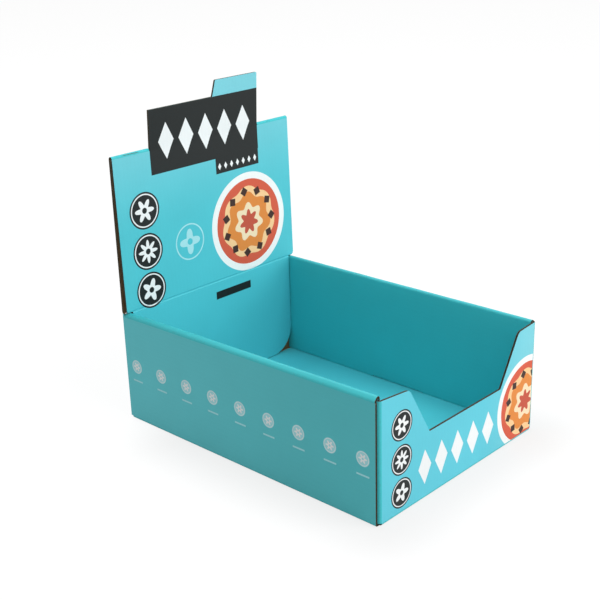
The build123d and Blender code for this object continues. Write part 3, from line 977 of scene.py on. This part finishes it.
# %% Node group for the round marks
RIM_SHARE, RIM_HALF_SHARE = 0.87, 0.035  # these and the next ones are shares of the radius
PETAL_SHARE, PETAL_SWING_SHARE, CORE_SHARE = 0.47, 0.17, 0.16


def polar(given):
    """Distance from a shape's middle, the same as a share of its radius, and the direction."""
    aside, above = from_middle(given)
    distance = calc("SQRT", aside * aside + above * above)
    return distance, distance / given["Radius"], calc("ARCTAN2", above, aside)


rosette, given, made = node_group("rosette", (*AROUND, "Radius", "Petals"), ("Disc", "Lines"))
distance, share, direction = polar(given)
feed(made["Disc"], within(distance - given["Radius"]))
rim = abs(share - RIM_SHARE) - RIM_HALF_SHARE
turn = calc("COSINE", direction * given["Petals"])
petal = share - (turn * PETAL_SWING_SHARE + PETAL_SHARE)
strokes = calc("MINIMUM", rim, calc("MAXIMUM", petal, CORE_SHARE - share))
feed(made["Lines"], within(strokes * given["Radius"]))
print("round mark from", len(rosette.nodes), "nodes")

# %% Node group for the banded disc
BANDS = {  # colours of the banded disc, each from its share of the radius outwards
    0.00: (196, 84, 62),
    0.20: (247, 224, 186),
    0.34: (226, 138, 62),
    0.56: (250, 205, 150),
    0.70: (214, 92, 66),
    0.86: (244, 246, 244),
}
BAND_LOBES, LOBE_SHARE = 7.0, 0.05
CALM_SHARE, LIVELY_SHARE = 0.85, 0.6  # the lobes fade out between these
BAND_DIAMONDS, DIAMOND_SHARE, DIAMOND_HALF_SHARE = 11, 0.63, 0.1
DIAMOND_BROWN = srgb(58, 36, 30)

banded_disc, given, made = node_group("banded_disc", (*AROUND, "Radius"), ("Mask", "Color"))
distance, share, direction = polar(given)
lobes = calc("SINE", direction * BAND_LOBES) * LOBE_SHARE
bands = put(banded_disc, "ValToRGB", {0: share + lobes * ramp(share, CALM_SHARE, LIVELY_SHARE)})
bands.color_ramp.interpolation = "CONSTANT"
while len(bands.color_ramp.elements) < len(BANDS):
    bands.color_ramp.elements.new(1.0)
for element, (start, colour) in zip(bands.color_ramp.elements, BANDS.items()):
    element.position = start
    element.color = srgb(*colour)
sector = calc("ROUND", direction * (BAND_DIAMONDS / (2 * math.pi)))
aim = direction - sector * (2 * math.pi / BAND_DIAMONDS)
aside = abs(share * calc("SINE", aim))
along = abs(share * calc("COSINE", aim) - DIAMOND_SHARE)
diamond = within((aside + along - DIAMOND_HALF_SHARE) * given["Radius"])
feed(made["Mask"], within(distance - given["Radius"]))
feed(made["Color"], mix(diamond, bands.outputs[0], DIAMOND_BROWN))
print("banded disc from", len(banded_disc.nodes), "nodes")

# %% [markdown]
# ## Printed liners
#
# The outside of the sheet and the visible inside are printed the same teal. Here the front, the left side,
# the rolled tops and inner walls, and the top of the header get lighter, greyer or deeper copies of it, which
# are painted light and shade for how the light falls on them. On top of it, the header, the front and the
# left side carry dark and light shapes. Each panel's layout is a short list of shapes laid over the ground
# colour, and one function turns any layout into a finished material: it adds the board's surface, the cracks
# at the folds, a satin gloss and a fine bump.

# %% One function for every paper material
TEAL = srgb(80, 196, 208)
PAINTED_LIGHT_TEAL = srgb(126, 208, 220)  # painted light: the paler teal that a ground runs to where the light falls strongest
# painted shade: a deeper, greener copy of the teal for the rolled tops and inner walls, for the inner walls
# that stand in shade
DEEP_TEAL = srgb(68, 196, 203)  # rolled tops and inner walls
# painted light: a paler copy of the teal for the brightly lit front wall
FRONT_TEAL = srgb(96, 201, 218)
# painted shade and sheen: a greyer copy of the teal for the left wall, which lies in shade; painted light:
# the paler one that it runs to towards the back
SIDE_TEAL, SIDE_PALE = srgb(88, 196, 203), srgb(100, 207, 215)
INSIDE_TEAL = srgb(80, 199, 212)
CHARCOAL = srgb(22, 28, 28)
WHITE = srgb(240, 243, 243)
PALE_TEAL = srgb(168, 226, 232)
KRAFT = srgb(100, 86, 58)
CRACK_SHARE = 0.1  # how much paper shows in a crack
GLOSS = 0.22  # specular level of the satin coat
TOOTH = 0.000012  # metres, height of the fibre bump


def paper_material(name, paint):
    """A paper material whose ink is given by paint(x, y, z) in millimetres."""
    material = bpy.data.materials.new(name)
    material.use_nodes = True
    tree = material.node_tree
    where = put(tree, "TexCoord").outputs["Object"]
    place = put(tree, "VectorMath", {0: where, "Scale": 1 / MM}, operation="SCALE").outputs[0]
    sockets = {"Place": place}
    for key in ("flute", "fold"):
        sockets[key.title()] = put(tree, "Attribute", attribute_name=key).outputs["Fac"]
    surface = numbers(put(tree, "Group", sockets, node_tree=board_surface))
    ink = paint(*numbers(put(tree, "SeparateXYZ", {0: place})).values())
    worn = mix(surface["Rub"] * CRACK_SHARE, ink, KRAFT)
    bump = put(tree, "Bump", {"Height": surface["Height"], "Distance": TOOTH})
    shader = tree.nodes["Principled BSDF"].inputs
    feed(shader["Base Color"], mix(1.0, worn, surface["Shade"], blend="MULTIPLY"))
    feed(shader["Roughness"], surface["Roughness"])
    feed(shader["Specular IOR Level"], GLOSS)
    feed(shader["Normal"], bump.outputs[0])
    return material


# %% Shapes laid over a ground
def stamp(group, across, up, sizes):
    """What a shape's group puts out for its place and sizes on a panel."""
    sockets = {key.replace("_", " ").capitalize(): value for key, value in sizes.items()}
    return numbers(put(across.tree, "Group", {"Across": across, "Up": up, **sockets}, node_tree=group))


def lay(ground, group, colour, across, up, **sizes):
    """A shape laid over the ground colour, in one colour or, with none given, in its own colours."""
    shape = stamp(group, across, up, sizes)
    return mix(shape["Mask"], ground, colour or shape["Color"])


def lay_rosette(ground, across, up, disc, lines, **sizes):
    """A round mark: a disc of one colour with a rim and petals of another."""
    shape = stamp(rosette, across, up, sizes)
    return mix(shape["Lines"], mix(shape["Disc"], ground, disc), lines)


def lay_column(ground, across, up, heights, **sizes):
    """Three dark round marks one below the other, with six, eight and five petals."""
    for height, petals in zip(heights, (6.0, 8.0, 5.0)):
        ground = lay_rosette(ground, across, up, CHARCOAL, WHITE, middle_up=height, petals=petals, **sizes)
    return ground


def painted_light_ramp(first, second, place, start, stop):
    """Painted light: a ground that runs from the first colour to the second between two places on the panel.
    """
    return mix(ramp(place, start, stop, bend="SMOOTHSTEP"), first, second)


# %% Ink of the plain, front and side panels
SIDE_PITCH = 26.0  # between two marks on the side wall
SIDE_REACH = 4.0  # marks each way from the middle one


def plain_ink(x, y, z):
    """The ground colour alone."""
    return DEEP_TEAL


def front_ink(x, y, z):
    """Three round marks, a row of lozenges and a banded disc that runs off the right edge."""
    # painted light: the front wall's ground grows paler towards its right end
    ink = painted_light_ramp(FRONT_TEAL, PAINTED_LIGHT_TEAL, x, start=20.0, stop=90.0)
    ink = lay(ink, banded_disc, None, x, z, middle_across=73.0, middle_up=26.0, radius=33.0)
    ink = lay_column(ink, x, z, heights=(60.0, 37.0, 14.5), middle_across=-62.0, radius=10.0)
    row = dict(middle_across=-5.0, middle_up=22.5, pitch=17.0, reach=2.0, half_width=6.5, half_height=12.0)
    return lay(ink, lozenge_row, WHITE, x, z, **row)


def side_ink(x, y, z):
    """A row of small round marks with a pale bar below each."""
    along = from_nearest(y, SIDE_PITCH, SIDE_REACH)
    # painted light: the side's ground grows paler from the front towards the back
    ink = painted_light_ramp(SIDE_TEAL, SIDE_PALE, y, -half_depth, half_depth)
    mark = dict(middle_across=0.0, middle_up=43.0, radius=5.2, petals=6.0)
    ink = lay_rosette(ink, along, z, PALE_TEAL, WHITE, **mark)
    return lay(ink, bar, PALE_TEAL, along, z, left=-5.0, right=5.0, bottom=31.4, top=32.6)


plain_print = paper_material("plain_print", plain_ink)
front_print = paper_material("front_print", front_ink)
side_print = paper_material("side_print", side_ink)
print("side print from", len(side_print.node_tree.nodes), "nodes")

# %% Ink of the header
FIELD_FOOT = 174.0  # lower edge of the dark field
STRIP_FOOT = 162.5  # lower edge of the narrow strip below it
STRIP_LAP = 1.0  # the strip reaches this far up into the field


def header_ink(x, y, z):
    """A dark field on the pop-up, a strip below it, three round marks, a ring and a banded disc."""
    # painted light: the header's ground grows paler towards the top, where the light falls strongest
    ink = painted_light_ramp(TEAL, PAINTED_LIGHT_TEAL, z, start=130.0, stop=235.0)
    ink = lay(ink, bar, CHARCOAL, x, z, left=-52.0, right=51.9, bottom=FIELD_FOOT, top=popup_top)
    ink = lay(ink, bar, CHARCOAL, x, z, left=8.0, right=51.5, bottom=STRIP_FOOT, top=FIELD_FOOT + STRIP_LAP)
    row = dict(middle_across=0.0, middle_up=196.0, pitch=18.5, reach=2.0, half_width=7.0, half_height=13.0)
    ink = lay(ink, lozenge_row, WHITE, x, z, **row)
    row = dict(middle_across=29.8, middle_up=167.6, pitch=6.0, reach=3.0, half_width=1.6, half_height=2.6)
    ink = lay(ink, lozenge_row, WHITE, x, z, **row)
    ink = lay(ink, banded_disc, None, x, z, middle_across=38.0, middle_up=120.0, radius=38.0)
    ink = lay_column(ink, x, z, heights=(151.0, 121.5, 93.0), middle_across=-61.0, radius=13.2)
    ring = dict(middle_across=-22.0, middle_up=119.0, radius=15.0, petals=4.0)
    ink = lay_rosette(ink, x, z, TEAL, PALE_TEAL, **ring)
    return lay(ink, bar, CHARCOAL, x, z, left=0.0, right=36.0, bottom=67.5, top=73.5)


header_print = paper_material("header_print", header_ink)
print("header print from", len(header_print.node_tree.nodes), "nodes")

# %% [markdown]
# ## Inside and cut edges
#
# The floor and the inside of the front wall are printed too. Behind the header the liner was left bare,
# because nobody sees it in use. A cut edge shows bare brown fibre, darker and rougher than a liner; its
# darkness is partly the fibre's own colour and partly painted shade for the shadow in the cut.

# %% Inside liner, bare liner and cut edge
BARE_FROM = 112.0  # the inside print stops here, behind the tuck flap
BARE_DARK, BARE_LIGHT = srgb(106, 84, 56), srgb(140, 113, 79)
# partly the fibre's own colour, partly painted shade: both browns are darker than lit kraft
CUT_DARK, CUT_BROWN = srgb(58, 54, 43), srgb(104, 95, 74)
FIBRE_STRETCH = 0.15  # of the grain along Z, which draws the fibres out upright


def grained(x, y, z, dark, light, scale, detail):
    """Two browns mixed by cloudy noise."""
    place = Number(put(x.tree, "CombineXYZ", {0: x, 1: y, 2: z}).outputs[0])
    return mix(noise(place, scale, detail), dark, light)


def bare_ink(x, y, z):
    """Brown liner with long darker fibres."""
    return grained(x, y, z * FIBRE_STRETCH, BARE_DARK, BARE_LIGHT, scale=0.9, detail=4.0)


def inside_ink(x, y, z):
    """The ground colour up to the back wall, bare liner behind the header."""
    return mix(within(y - BARE_FROM), bare_ink(x, y, z), INSIDE_TEAL)


def cut_ink(x, y, z):
    """Brown fibre with darker specks."""
    return grained(x, y, z, CUT_DARK, CUT_BROWN, scale=2.5, detail=3.0)


inside_print = paper_material("inside_print", inside_ink)
bare_liner = paper_material("bare_liner", bare_ink)
cut_edge = paper_material("cut_edge", cut_ink)

dressing = {
    tray_board: (plain_print, inside_print, cut_edge, side_print, front_print),
    header_board: (header_print, bare_liner, cut_edge),
    header_fold: (plain_print, bare_liner, cut_edge),
}
for board_piece, finishes in dressing.items():
    for finish in finishes:
        board_piece.data.materials.append(finish)
print(len(bpy.data.materials), "materials")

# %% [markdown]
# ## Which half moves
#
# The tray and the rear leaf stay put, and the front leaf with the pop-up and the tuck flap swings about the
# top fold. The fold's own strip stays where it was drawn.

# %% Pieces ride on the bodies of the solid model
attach(tray_board, "tray")
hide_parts("tray")
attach(header_board, "header_front")
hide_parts("header_front")
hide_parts("header_front")
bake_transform(header_fold)
